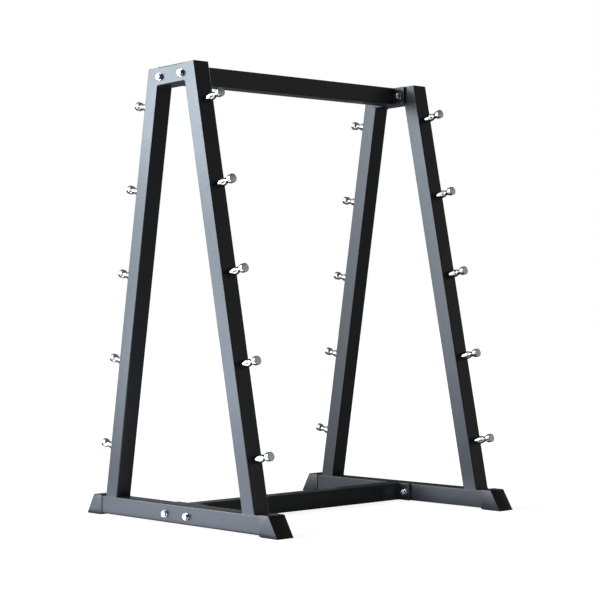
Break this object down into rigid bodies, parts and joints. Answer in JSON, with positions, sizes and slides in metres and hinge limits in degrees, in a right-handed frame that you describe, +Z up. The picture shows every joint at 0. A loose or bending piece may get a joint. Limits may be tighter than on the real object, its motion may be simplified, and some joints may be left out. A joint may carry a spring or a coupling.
{
  "type": "barbell storage rack",
  "caption": "Free-standing double-sided rack for barbells: A-shaped end frames of square steel tube, joined by bolted beams, with chromed pegs on the outward face of each leg.",
  "frame": {"origin": "on the floor, under the middle of the rack", "axes": "+X along the rack from the left end frame to the right one, +Y from front to rear across the rack, +Z up"},
  "size_m": [1.0566, 1.01, 1.474],
  "materials": {
    "frame_paint": "black powder coat, semi-gloss",
    "peg_chrome": "bright chrome over turned steel",
    "hardware_zinc": "bright zinc plate",
    "foot_rubber": "black, satin, moulded",
    "plug_plastic": "black, matt, moulded"
  },
  "bodies": {
    "root": {"left_top_cross_tube": "frame_paint", "left_base_tube": "frame_paint", "left_front_leg": "frame_paint", "left_rear_leg": "frame_paint", "right_top_cross_tube": "frame_paint", "right_base_tube": "frame_paint", "right_front_leg": "frame_paint", "right_rear_leg": "frame_paint", "upper_beam": "frame_paint", "upper_beam_left_plate": "frame_paint", "upper_beam_right_plate": "frame_paint", "lower_beam": "frame_paint", "lower_beam_left_plate": "frame_paint", "lower_beam_right_plate": "frame_paint", "left_front_leg_plug": "plug_plastic", "left_rear_leg_plug": "plug_plastic", "right_front_leg_plug": "plug_plastic", "right_rear_leg_plug": "plug_plastic", "left_front_foot_cap": "foot_rubber", "left_rear_foot_cap": "foot_rubber", "right_front_foot_cap": "foot_rubber", "right_rear_foot_cap": "foot_rubber", "left_front_peg_1": "peg_chrome", "left_front_peg_2": "peg_chrome", "left_front_peg_3": "peg_chrome", "left_front_peg_4": "peg_chrome", "left_front_peg_5": "peg_chrome", "left_rear_peg_1": "peg_chrome", "left_rear_peg_2": "peg_chrome", "left_rear_peg_3": "peg_chrome", "left_rear_peg_4": "peg_chrome", "left_rear_peg_5": "peg_chrome", "right_front_peg_1": "peg_chrome", "right_front_peg_2": "peg_chrome", "right_front_peg_3": "peg_chrome", "right_front_peg_4": "peg_chrome", "right_front_peg_5": "peg_chrome", "right_rear_peg_1": "peg_chrome", "right_rear_peg_2": "peg_chrome", "right_rear_peg_3": "peg_chrome", "right_rear_peg_4": "peg_chrome", "right_rear_peg_5": "peg_chrome", "upper_left_front_bolt": "hardware_zinc", "upper_left_rear_bolt": "hardware_zinc", "upper_right_front_bolt": "hardware_zinc", "upper_right_rear_bolt": "hardware_zinc", "lower_left_front_bolt": "hardware_zinc", "lower_left_rear_bolt": "hardware_zinc", "lower_right_front_bolt": "hardware_zinc", "lower_right_rear_bolt": "hardware_zinc", "upper_left_front_nut": "hardware_zinc", "upper_left_rear_nut": "hardware_zinc", "upper_right_front_nut": "hardware_zinc", "upper_right_rear_nut": "hardware_zinc", "lower_left_front_nut": "hardware_zinc", "lower_left_rear_nut": "hardware_zinc", "lower_right_front_nut": "hardware_zinc", "lower_right_rear_nut": "hardware_zinc"}
  },
  "joints": []
}
